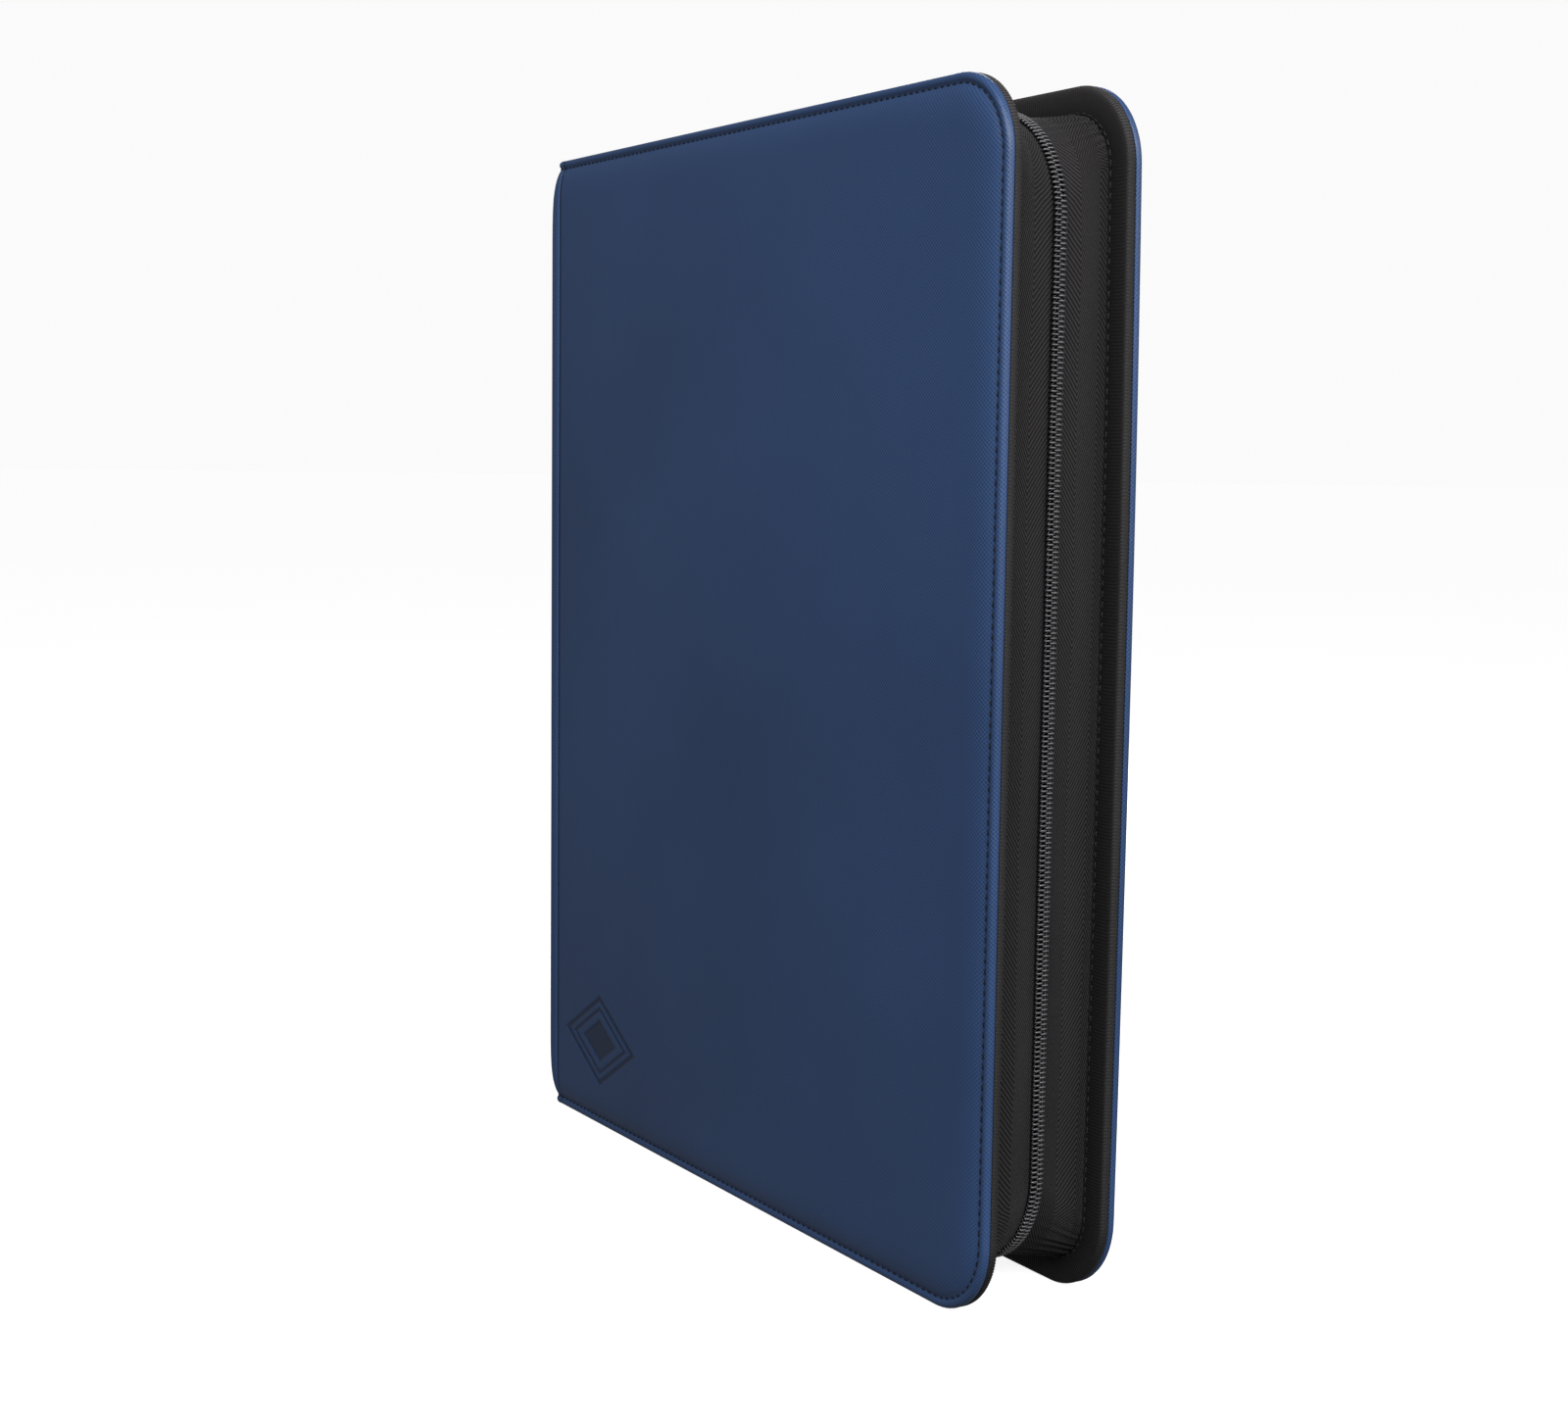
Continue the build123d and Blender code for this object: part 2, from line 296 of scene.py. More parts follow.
class Graph:
    """A material and short calls that add nodes to it."""

    def __init__(self, name, roughness=0.5, specular=0.5, **inputs):
        self.material = bpy.data.materials.new(name)
        self.material.use_nodes = True
        self.tree = self.material.node_tree
        self.shader = self.tree.nodes["Principled BSDF"]
        self.shader.inputs["Roughness"].default_value = roughness
        self.shader.inputs["Specular IOR Level"].default_value = specular
        for key, value in inputs.items():
            self.shader.inputs[key.replace("_", " ").title()].default_value = value

    def link(self, source, target):
        """Feed a socket, or a number, into another socket."""
        if isinstance(source, bpy.types.NodeSocket):
            self.tree.links.new(source, target)
        else:
            target.default_value = source

    def math(self, operation, a, b=0.0):
        node = self.tree.nodes.new("ShaderNodeMath")
        node.operation = operation
        self.link(a, node.inputs[0])
        self.link(b, node.inputs[1])
        return node.outputs[0]

    def add(self, a, b):
        return self.math("ADD", a, b)

    def times(self, a, b):
        return self.math("MULTIPLY", a, b)

    def pattern(self):
        """The piece's own coordinates along and across it, in metres."""
        node = self.tree.nodes.new("ShaderNodeUVMap")
        node.uv_map = "pattern"
        parts = self.tree.nodes.new("ShaderNodeSeparateXYZ")
        self.tree.links.new(node.outputs[0], parts.inputs[0])
        return parts.outputs[0], parts.outputs[1]

    def place(self):
        return self.tree.nodes.new("ShaderNodeTexCoord").outputs["Object"]

    def noise(self, scale, detail=3.0, vector=None):
        node = self.tree.nodes.new("ShaderNodeTexNoise")
        node.inputs["Scale"].default_value = scale
        node.inputs["Detail"].default_value = detail
        self.tree.links.new(vector or self.place(), node.inputs["Vector"])
        return node.outputs[0]

    def wave(self, phase):
        """A sine of so many cycles, from 0 to 1."""
        swing = self.math("SINE", self.times(phase, 2 * math.pi))
        return self.add(self.times(swing, 0.5), 0.5)

    def ramp(self, factor, *stops):
        """A colour ramp through (position, colour) stops."""
        node = self.tree.nodes.new("ShaderNodeValToRGB")
        while len(node.color_ramp.elements) < len(stops):
            node.color_ramp.elements.new(0.5)
        for element, (position, colour) in zip(node.color_ramp.elements, stops):
            element.position = position
            element.color = (*colour, 1.0)
        self.link(factor, node.inputs[0])
        return node.outputs[0]

    def fit(self, value, low, high):
        """Spread a 0 to 1 value between two numbers."""
        return self.add(self.times(value, high - low), low)

    def colour(self, socket):
        self.tree.links.new(socket, self.shader.inputs["Base Color"])

    def roughness(self, socket):
        self.tree.links.new(socket, self.shader.inputs["Roughness"])

    def bump(self, height, distance, strength=1.0):
        node = self.tree.nodes.new("ShaderNodeBump")
        node.inputs["Distance"].default_value = distance
        node.inputs["Strength"].default_value = strength
        self.link(height, node.inputs["Height"])
        self.tree.links.new(node.outputs[0], self.shader.inputs["Normal"])


def scaled(colour, factor):
    return tuple(channel * factor for channel in colour)


NAVY = (0.0205, 0.0465, 0.1180)
BLACK = (0.0115, 0.0106, 0.0112)


def leather_material():
    """Leathercloth embossed with a fine diagonal grid, softly glossy, rubbed a little unevenly."""
    g = Graph("navy_leather", specular=0.36)
    along, up = g.pattern()
    first = g.wave(g.add(g.times(along, 690.0), g.times(up, 745.0)))
    second = g.wave(g.add(g.times(along, 690.0), g.times(up, -745.0)))
    emboss = g.add(g.times(first, 0.58), g.times(second, 0.42))
    grain = g.noise(2600.0, 2.0)
    cloud = g.noise(9.0, 4.0)
    pressed = g.tree.nodes.new("ShaderNodeAttribute")
    pressed.attribute_name = "pressed"
    pressed = pressed.outputs["Fac"]
    tone = g.add(g.times(emboss, 0.6), g.add(g.times(cloud, 0.45), g.times(grain, 0.12)))
    tone = g.add(tone, g.times(pressed, -0.5))
    shades = (0.0, scaled(NAVY, 0.35)), (0.25, scaled(NAVY, 0.62)), (0.9, scaled(NAVY, 1.5))
    g.colour(g.ramp(tone, *shades))
    rough = g.fit(g.add(g.times(cloud, 0.6), g.times(grain, 0.4)), 0.34, 0.52)
    g.roughness(g.add(rough, g.times(pressed, -0.12)))
    g.bump(g.add(emboss, g.times(grain, 0.3)), 0.00007, 0.6)
    return g.material


def thread_material(name, colour):
    """Twisted sewing thread."""
    g = Graph(name, specular=0.3)
    twist = g.noise(1800.0, 2.0)
    g.colour(g.ramp(twist, (0.3, scaled(colour, 0.6)), (0.75, scaled(colour, 1.7))))
    g.roughness(g.fit(twist, 0.5, 0.75))
    g.bump(twist, 0.0001, 0.6)
    return g.material


def binding_material():
    """Ribbed tape: the ribs are geometry, and this gives their fine warp, a painted highlight on each
    crest, and painted shade in the valleys and over the inner margin.
    """
    g = Graph("binding_tape", specular=0.2, sheen_weight=0.05, sheen_roughness=0.4)
    along, across = g.pattern()
    rib = g.wave(g.times(along, 1 / (RIB_PITCH * MM)))
    warp = g.wave(g.times(across, 2600.0))
    fuzz = g.noise(1500.0, 3.0)
    # Painted highlight and painted shade: each rib's crest is painted lighter and its valley darker. The
    # fine warp and fuzz on top are the tape's own.
    tone = g.add(g.times(rib, 0.6), g.add(g.times(warp, 0.14), g.times(fuzz, 0.26)))
    # Painted shade: the tape is painted darker inwards from its outer edge, over the inner margin in the
    # recess by the lining, and a little lighter right at the outer edge.
    painted_shade_reach = g.math("MINIMUM", g.times(across, 1 / 0.012), 1.0)
    tone = g.times(tone, g.fit(painted_shade_reach, 1.15, 0.45))
    g.colour(g.ramp(tone, (0.15, scaled(BLACK, 0.2)), (0.8, scaled(BLACK, 2.6))))
    g.roughness(g.fit(fuzz, 0.42, 0.65))
    g.bump(g.add(g.times(warp, 0.5), fuzz), 0.00006, 0.6)
    return g.material


HERRINGBONE_COLUMN = 7.5
HERRINGBONE_START = 3.5  # from the tape's foot to its first turn
WALE_PITCH = 1.75
WALE_SLOPE = 1.8


def zip_tape_material():
    """Herringbone weave: slanted wales that turn back at each column."""
    g = Graph("zip_tape", specular=0.14, sheen_weight=0.04, sheen_roughness=0.45)
    along, across = g.pattern()
    column = g.math("PINGPONG", g.add(across, -HERRINGBONE_START * MM), HERRINGBONE_COLUMN * MM)
    slant = g.add(along, g.times(column, WALE_SLOPE))
    wale = g.wave(g.times(slant, 1 / (WALE_PITCH * MM)))
    yarn = g.wave(g.times(g.add(g.times(along, 0.8), g.times(column, -1.0)), 2400.0))
    fuzz = g.noise(1300.0, 3.0)
    lift = g.math("POWER", wale, 1.3)
    tone = g.add(g.times(lift, 0.68), g.add(g.times(yarn, 0.06), g.times(fuzz, 0.26)))
    g.colour(g.ramp(tone, (0.2, scaled(BLACK, 0.4)), (0.9, scaled(BLACK, 2.6))))
    g.roughness(g.fit(fuzz, 0.62, 0.9))
    g.bump(g.add(lift, g.add(g.times(yarn, 0.08), g.times(fuzz, 0.25))), 0.00025, 0.9)
    return g.material


def woven_material(name, colour, count=1500.0):
    """A plain fine weave."""
    g = Graph(name, specular=0.2, sheen_weight=0.06, sheen_roughness=0.5)
    along, across = g.pattern()
    weave = g.times(g.wave(g.times(along, count)), g.wave(g.times(across, count)))
    fuzz = g.noise(900.0, 3.0)
    tone = g.add(g.times(weave, 0.6), g.times(fuzz, 0.4))
    g.colour(g.ramp(tone, (0.15, scaled(colour, 0.55)), (0.7, scaled(colour, 1.7))))
    g.roughness(g.fit(fuzz, 0.65, 0.9))
    g.bump(tone, 0.0001, 0.7)
    return g.material


def nylon_material():
    """Glossy moulded nylon monofilament."""
    g = Graph("coil_nylon", specular=0.6, coat_weight=0.3, coat_roughness=0.15)
    streak = g.noise(700.0, 2.0)
    _, lift = g.pattern()
    # Painted highlight and painted shade: the coil's outer side is painted lighter and its underside
    # near black. The random streak mixed in is the nylon's own.
    painted_top_light_and_streak = g.add(g.times(lift, 0.5 / (COIL_HALF_HEIGHT * MM)), g.times(streak, 0.3))
    g.colour(g.ramp(painted_top_light_and_streak, (0.1, (0.003, 0.003, 0.003)), (0.65, (0.055, 0.055, 0.060))))
    g.roughness(g.fit(streak, 0.14, 0.3))
    g.bump(streak, 0.00003, 0.4)
    return g.material


def enamel_material():
    """Black enamel on die-cast metal, with a little orange peel and fine scratches."""
    g = Graph("slider_enamel", specular=0.3, coat_weight=0.15, coat_roughness=0.3)
    peel = g.noise(900.0, 3.0)
    scratch = g.math("POWER", g.noise(350.0, 8.0), 6.0)
    g.colour(g.ramp(g.add(g.times(scratch, 3.0), g.times(peel, 0.2)),
                    (0.1, (0.010, 0.010, 0.011)), (0.9, (0.060, 0.060, 0.062))))
    g.roughness(g.fit(peel, 0.34, 0.52))
    g.bump(peel, 0.00003, 0.5)
    return g.material


def page_material():
    """Black sheet plastic with a fine sand grain."""
    g = Graph("page_plastic", specular=0.45)
    sand = g.noise(2200.0, 2.0)
    cloud = g.noise(14.0, 3.0)
    g.colour(g.ramp(g.add(g.times(sand, 0.4), g.times(cloud, 0.6)),
                    (0.3, (0.007, 0.007, 0.008)), (0.7, (0.017, 0.017, 0.019))))
    g.roughness(g.fit(g.add(g.times(sand, 0.5), g.times(cloud, 0.5)), 0.38, 0.6))
    g.bump(sand, 0.00006, 0.6)
    return g.material


def film_material():
    """Clear soft film: see-through, glossy, faintly streaked."""
    g = Graph("clear_film", specular=0.8, alpha=0.2)
    streak = g.noise(60.0, 4.0)
    g.colour(g.ramp(streak, (0.3, (0.060, 0.062, 0.065)), (0.7, (0.110, 0.113, 0.118))))
    g.roughness(g.fit(streak, 0.06, 0.2))
    g.bump(g.noise(25.0, 3.0), 0.0004, 0.35)
    return g.material


def weld_material():
    """Film pressed on to the backing: darker, with the fine knurl of the welding bar."""
    g = Graph("film_weld", specular=0.5, alpha=0.75)
    along, across = g.pattern()
    knurl = g.times(g.wave(g.times(along, 1100.0)), g.wave(g.times(across, 1100.0)))
    g.colour(g.ramp(knurl, (0.1, (0.010, 0.010, 0.011)), (0.9, (0.045, 0.045, 0.048))))
    g.roughness(g.fit(knurl, 0.3, 0.5))
    g.bump(knurl, 0.0001, 0.8)
    return g.material


def board_material():
    """Grey board with pressed fibres."""
    g = Graph("grey_board", specular=0.2)
    fibre = g.noise(400.0, 6.0)
    g.colour(g.ramp(fibre, (0.3, (0.30, 0.27, 0.23)), (0.75, (0.52, 0.48, 0.41))))
    g.roughness(g.fit(fibre, 0.8, 0.95))
    g.bump(fibre, 0.0002, 0.5)
    return g.material


LEATHER = leather_material()
THREAD = thread_material("navy_thread", (0.006, 0.008, 0.016))
BLACK_THREAD = thread_material("black_thread", (0.012, 0.012, 0.013))
BINDING = binding_material()
TAPE = zip_tape_material()
LINING = woven_material("lining_fabric", BLACK)
NYLON = nylon_material()
ENAMEL = enamel_material()
PAGE = page_material()
FILM = film_material()
WELD = weld_material()
BOARD = board_material()


# ---------------------------------------------------------------- covers

# A plain pressed ornament of nested lozenges, low on the front cover by the spine.
EMBLEM_X, EMBLEM_Z = LEFT + 43.0, 34.0
EMBLEM_HALF = (27.0, 16.5)
EMBLEM_DEPTH = 0.42
EMBLEM_LINE = 0.85


def emblem_depth(x, z):
    """How far the ornament is pressed in at each point."""
    across, up = np.abs(x - EMBLEM_X), np.abs(z - EMBLEM_Z)
    reach = across / EMBLEM_HALF[0] + up / EMBLEM_HALF[1]
    slope = math.hypot(1 / EMBLEM_HALF[0], 1 / EMBLEM_HALF[1])
    outer = np.abs(reach - 1.0) / slope
    inner = np.abs(reach - 0.76) / slope + 0.25
    heart = np.maximum(0, reach - 0.44) / slope
    near = np.minimum.reduce([outer, inner, heart])
    return EMBLEM_DEPTH * (1 - smooth((near - EMBLEM_LINE + 0.35) / 0.7))


def smooth(t):
    t = np.clip(t, 0, 1)
    return t * t * (3 - 2 * t)


def crown(x, z, height):
    """A soft rise over the padding, level with the sheet's border."""
    u = 2 * (x - HINGE_X) / (RIGHT - PAD_INSET - HINGE_X) - 1
    v = 2 * (z - PAD_INSET) / (HEIGHT - 2 * PAD_INSET) - 1
    return height * np.clip(1 - u**4, 0, 1) * np.clip(1 - v**6, 0, 1)


def cover_sheet(name, side, edge, profile, rise, material, pressed=None, thickness=1.4):
    """A closed sheet over a whole cover: rings round its edge, a grid inside and a flat back."""
    lengths = profile_lengths(profile)
    uv_start = profile[-1][0] + lengths[-1]
    rings, ring_uv = [], []
    for (inset, depth), length in zip(profile, lengths):
        points, normals, _ = edge.cover_ring(inset)
        rings.append(on_cover(side, points, depth))
        base = edge.cover_ring(PAD_INSET)[0]
        ring_uv.append(base + normals * (uv_start - length - PAD_INSET))
    border, _, _ = edge.cover_ring(profile[-1][0])
    count, columns = len(border), len(edge.run)
    rows = count - 2 * (columns - 1)
    right = border[columns - 1 : columns - 1 + rows]
    inner_xz = np.stack([
        HINGE_X + (right[1:-1, :1] - HINGE_X) * edge.run[None, :-1],
        np.repeat(right[1:-1, 1:], columns - 1, axis=1),
    ], 2).reshape(-1, 2)
    inner_depth = profile[-1][1] - crown(inner_xz[:, 0], inner_xz[:, 1], rise)
    if pressed is not None:
        inner_depth = inner_depth + pressed(inner_xz[:, 0], inner_xz[:, 1])
    last = (len(profile) - 1) * count
    inner_start = len(profile) * count
    numbers = np.empty((rows, columns), int)
    numbers[1:-1, :-1] = inner_start + np.arange((rows - 2) * (columns - 1)).reshape(rows - 2, -1)
    numbers[0] = last + np.arange(columns)
    numbers[:, -1] = last + columns - 1 + np.arange(rows)
    numbers[-1] = last + count - 1 - np.arange(columns)
    faces = grid_faces(len(profile), count)
    faces += np.stack([
        numbers[:-1, :-1], numbers[:-1, 1:], numbers[1:, 1:], numbers[1:, :-1]
    ], 2).reshape(-1, 4).tolist()
    back_xz = edge.cover_ring(profile[0][0] + thickness)[0]
    back = on_cover(side, back_xz, max(profile[-1][1] + thickness, profile[0][1] - thickness))
    back_start = inner_start + len(inner_xz)
    first_to_back = [
        [i, i + 1, back_start + i + 1, back_start + i] for i in range(count - 1)
    ]
    hinge_side = [ring * count for ring in range(len(profile))]
    hinge_side += numbers[1:-1, 0].tolist()
    hinge_side += [ring * count + count - 1 for ring in range(len(profile))][::-1]
    hinge_side += [back_start + count - 1, back_start]
    faces += first_to_back
    faces.append(list(range(back_start, back_start + count)))
    faces.append(hinge_side)
    points = np.concatenate([*rings, on_cover(side, inner_xz, inner_depth), back])
    uv = np.concatenate([*ring_uv, inner_xz, back_xz])
    sheet = build(name, points, faces, material, uv)
    if pressed is not None:
        depth = np.zeros(len(points))
        depth[inner_start:back_start] = pressed(inner_xz[:, 0], inner_xz[:, 1]) / EMBLEM_DEPTH
        sheet.data.attributes.new("pressed", "FLOAT", "POINT").data.foreach_set("value", depth)
    return sheet


def spaced(*stretches):
    """Fractions from 0 to 1 over stretches of (length, step), each evenly divided."""
    values, start = [0.0], 0.0
    for length, step in stretches:
        count = max(1, int(round(length / step)))
        values += [start + length * (i + 1) / count for i in range(count)]
        start += length
    return np.array(values) / start


def leather_edge(fine):
    """Spacing for a cover's leather, closer over the ornament if fine."""
    if not fine:
        corner = np.linspace(0, 1, 23)
        return Edge(np.linspace(0, 1, 100), corner, np.linspace(0, 1, 110), corner)
    run = RIGHT - COVER_RADIUS - HINGE_X
    first = EMBLEM_X - EMBLEM_HALF[0] - 1.5 - HINGE_X
    wide = 2 * EMBLEM_HALF[0] + 3.0
    tall = EMBLEM_Z + EMBLEM_HALF[1] + 2 - COVER_RADIUS
    rise = HEIGHT - 2 * COVER_RADIUS
    return Edge(
        spaced((first, 2.0), (wide, 0.5), (run - first - wide, 2.6)),
        np.linspace(0, 1, 23),
        spaced((tall, 0.5), (rise - tall, 3.0)),
        np.linspace(0, 1, 23),
    )


# ---------------------------------------------------------------- stitches


def stitches(centres, tangents, normals, thickness=1.0):
    """Short threads that dip at both ends, one at each centre, as one mesh's parts."""
    around, along = 7, 7
    t = np.linspace(-1, 1, along)
    angle = np.linspace(0, 2 * math.pi, around, endpoint=False)
    radius = thickness * STITCH_RADIUS * np.sqrt(np.clip(1 - 0.92 * np.abs(t) ** 4, 0.05, 1))
    drop = -0.35 * np.abs(t) ** 2.5
    template = np.stack([
        np.repeat(t[:, None] * STITCH_LENGTH / 2, around, 1),
        radius[:, None] * np.cos(angle)[None, :],
        radius[:, None] * np.sin(angle)[None, :] * 0.8 + drop[:, None],
    ], 2).reshape(-1, 3)
    faces = grid_faces(along, around, closed=True)
    faces += [list(range(around))[::-1], list(range((along - 1) * around, along * around))]
    sideways = np.cross(normals, tangents)
    basis = np.stack([tangents, sideways, normals], 1)
    points = centres[:, None, :] + np.einsum("vk,nkj->nvj", template, basis)
    every = [
        [n * len(template) + v for v in face] for n in range(len(centres)) for face in faces
    ]
    uv = np.tile(template[:, :2], (len(centres), 1))
    return points.reshape(-1, 3), every, uv


def unit(vectors):
    return vectors / np.linalg.norm(vectors, axis=-1, keepdims=True)


def resample(points, normals, distance, at):
    """Points and normals at given distances along a line."""
    where = np.stack([np.interp(at, distance, column) for column in points.T], 1)
    facing = unit(np.stack([np.interp(at, distance, column) for column in normals.T], 1))
    return where, facing


def cover_stitches(side, inset, depth, outward):
    """The seam round a cover, seen from outside or from inside."""
    edge = even_edge(inset, COVER_RADIUS - inset, 0.5)
    xz, _, distance = edge.cover_ring(inset)
    at = np.arange(STITCH_PITCH / 2, distance[-1], STITCH_PITCH)
    count = len(at)
    line = on_cover(side, xz, depth)
    tangent = unit(np.gradient(line, axis=0))
    centres, tangents = resample(line, tangent, distance, at)
    normals = np.tile([0.0, side * outward, 0.0], (count, 1))
    return stitches(centres, tangents, normals, 1.0 if outward > 0 else 0.7)


# ---------------------------------------------------------------- ribbed edge binding


def rib(distance):
    """A rounded rib and a narrow valley, from 1 down to 0."""
    return 1 - np.abs(np.cos(math.pi * distance / RIB_PITCH)) ** 5


def binding_rings(distance, place):
    """The binding along any line: place(insets, depths) puts one row of points."""
    press = RIB_DEPTH * (1 - rib(distance))
    rows = []
    for (inset, depth), out in zip(BINDING_EDGE, profile_normals(BINDING_EDGE)):
        amount = press * (1.0 if inset < 1.5 else 0.6)
        rows.append(place(inset - out[0] * amount, depth - out[1] * amount))
    lengths = profile_lengths(BINDING_EDGE)
    uv = np.stack([
        np.repeat(distance[:, None], len(rows), 1),
        np.repeat(lengths[None, :], len(distance), 0),
    ], 2)
    return np.stack(rows, 1), uv


def cover_binding(name, side):
    edge = even_edge(0.0, COVER_RADIUS, RIB_PITCH / 4)
    outline, normals, distance = edge.cover_ring(0.0)

    def place(insets, depths):
        return on_cover(side, outline - normals * insets[:, None], depths)

    rings, uv = binding_rings(distance, place)
    return tube(name, rings, BINDING, uv)


# ---------------------------------------------------------------- spine and hinges


def spine_pull(z):
    """The leather is drawn in at the spine's two ends and stands a little proud between."""
    near_end = np.minimum(z, HEIGHT - z)
    return 0.6 - 0.9 * np.exp(-((near_end / 13.0) ** 2))


def upright_profile():
    """The leather's section up the spine: (z, depth) from the bottom tuck to the top one."""
    low = [(inset, depth) for inset, depth in LEATHER_EDGE]
    middle = [(z, LEATHER_EDGE[-1][1]) for z in steps(PAD_INSET, HEIGHT - PAD_INSET, 5.0)[1:-1]]
    high = [(HEIGHT - inset, depth) for inset, depth in LEATHER_EDGE][::-1]
    return np.array(low + middle + high)


def spine_sheet():
    """The leather over the spine's flat part, closed by a flat back."""
    profile = upright_profile()
    ys = steps(-SPINE_HALF, SPINE_HALF, 1.5)
    z, depth = profile[:, 0], profile[:, 1]
    x = LEFT + depth - spine_pull(z)
    lift = SPINE_CROWN * np.cos(ys / SPINE_HALF * math.pi / 2)
    outer = np.stack([np.stack([x - up, np.full_like(x, y), z], 1) for y, up in zip(ys, lift)])
    behind = np.array([[LEFT + 1.0, HEIGHT - 1.6], [LEFT + 1.0, 1.6]])
    back = np.stack([
        np.stack([behind[:, 0] + 0.4, np.full(2, y), behind[:, 1]], 1) for y in ys
    ])
    rings = np.concatenate([outer, back], 1)
    uv_line = np.concatenate([z, behind[:, 1]])
    uv = np.stack([
        np.repeat((LEFT - SPINE_HALF - ys)[:, None], len(uv_line), 1),
        np.repeat(uv_line[None, :], len(ys), 0),
    ], 2)
    return tube("spine_leather", rings, LEATHER, uv)


def hinge_points(side, angle, radius, z):
    """Points round the corner between the spine, at angle 0, and a cover, at a right angle."""
    x = HINGE_X - radius * np.cos(angle)
    y = side * (SPINE_HALF + radius * np.sin(angle))
    return np.stack([x, y, z + np.zeros_like(x)], -1)


def hinge_rise(angle, z):
    """The leather turns the corner more squarely than an arc, except at its two ends."""
    away = 1 - 0.6 * np.exp(-((np.minimum(z, HEIGHT - z) / 12.0) ** 2))
    return spine_pull(z) * math.cos(angle) ** 2 + HINGE_FILL * math.sin(2 * angle) * away


def hinge_sheet(side, name):
    """The leather that bends from the spine into a cover."""
    profile = upright_profile()
    angles = np.linspace(0, math.pi / 2, 13)
    z, depth = profile[:, 0], profile[:, 1]
    z_back = np.array([HEIGHT - 1.6, 1.6])
    rings, uvs = [], []
    for angle in angles:
        radius = HINGE_RADIUS - depth + hinge_rise(angle, z)
        outer = hinge_points(side, np.full_like(z, angle), radius, z)
        inner = hinge_points(side, np.full(2, angle), HINGE_RADIUS - np.array([1.4, 1.4]), z_back)
        rings.append(np.concatenate([outer, inner]))
        run = HINGE_X - HINGE_RADIUS * (math.pi / 2 - angle)
        column = np.concatenate([z, z_back])
        uvs.append(np.stack([np.full_like(column, run), column], 1))
    return tube(name, np.stack(rings), LEATHER, np.stack(uvs))


def hinge_lining(side, name):
    """The lining behind the leather as it bends from the spine into a cover."""
    angles = np.linspace(-0.25, math.pi / 2 + 0.25, 13)
    z = steps(1.7, HEIGHT - 1.7, 20.0)
    heights = np.concatenate([z, z[::-1]])
    radii = HINGE_RADIUS - np.repeat([1.6, 2.1], len(z))
    rings, uvs = [], []
    for angle in angles:
        rings.append(hinge_points(side, np.full_like(heights, angle), radii, heights))
        uvs.append(np.stack([np.full_like(heights, angle * HINGE_RADIUS), heights], 1))
    return tube(name, np.stack(rings), LINING, np.stack(uvs))


SEAM_Y = SPINE_HALF - 1.6  # of the upright seams beside the hinges


def end_stitches_on_spine():
    """The seam along the spine's two ends and the two upright seams beside the hinges."""
    centres, tangents, normals = [], [], []
    groove = dict(LEATHER_EDGE)[STITCH_INSET] - 0.1
    for z in (STITCH_INSET, HEIGHT - STITCH_INSET):
        for y in np.arange(-SPINE_HALF + STITCH_PITCH / 2, SPINE_HALF, STITCH_PITCH):
            lift = SPINE_CROWN * math.cos(y / SPINE_HALF * math.pi / 2)
            centres.append((LEFT + groove - spine_pull(z) - lift, y, z))
            tangents.append((0, 1, 0))
            normals.append((-1, 0, 0))
    for y in (-SEAM_Y, SEAM_Y):
        for z in np.arange(7.0, HEIGHT - 6.0, STITCH_PITCH):
            lift = SPINE_CROWN * math.cos(y / SPINE_HALF * math.pi / 2)
            depth = np.interp(min(z, HEIGHT - z), *np.array(LEATHER_EDGE)[9:].T) + 0.05
            centres.append((LEFT + depth - spine_pull(z) - lift, y, z))
            tangents.append((0, 0, 1))
            normals.append((-1, 0, 0))
    return stitches(*[np.array(values, float) for values in (centres, tangents, normals)])


def hinge_stitches(side):
    """The end seams where they pass round a hinge."""
    centres, tangents, normals = [], [], []
    groove = dict(LEATHER_EDGE)[STITCH_INSET] - 0.1
    arc = HINGE_RADIUS * math.pi / 2
    for z in (STITCH_INSET, HEIGHT - STITCH_INSET):
        for along in np.arange(STITCH_PITCH / 2, arc, STITCH_PITCH):
            angle = along / HINGE_RADIUS
            radius = HINGE_RADIUS - groove + hinge_rise(angle, z)
            centres.append(hinge_points(side, np.array(angle), radius, np.array(z)))
            tangents.append((math.sin(angle), side * math.cos(angle), 0))
            normals.append((-math.cos(angle), side * math.sin(angle), 0))
    return stitches(*[np.array(values, float) for values in (centres, tangents, normals)])


def spine_binding(low_end):
    """The ribbed binding across one end of the spine."""
    distance = steps(0, 2 * SPINE_HALF, RIB_PITCH / 4)

    def place(insets, depths):
        z = insets if low_end else HEIGHT - insets
        return np.stack([LEFT + depths, distance - SPINE_HALF, z], 1)

    return binding_rings(distance, place)


def hinge_binding(name, side, low_end):
    """The ribbed binding round a hinge, at one end of the spine."""
    distance = steps(0, HINGE_RADIUS * math.pi / 2, RIB_PITCH / 4)
    angle = distance / HINGE_RADIUS

    def place(insets, depths):
        z = insets if low_end else HEIGHT - insets
        return hinge_points(side, angle, HINGE_RADIUS - depths * 0.94, z)

    rings, uv = binding_rings(distance, place)
    return tube(name, rings, BINDING, uv)


# ---------------------------------------------------------------- zip


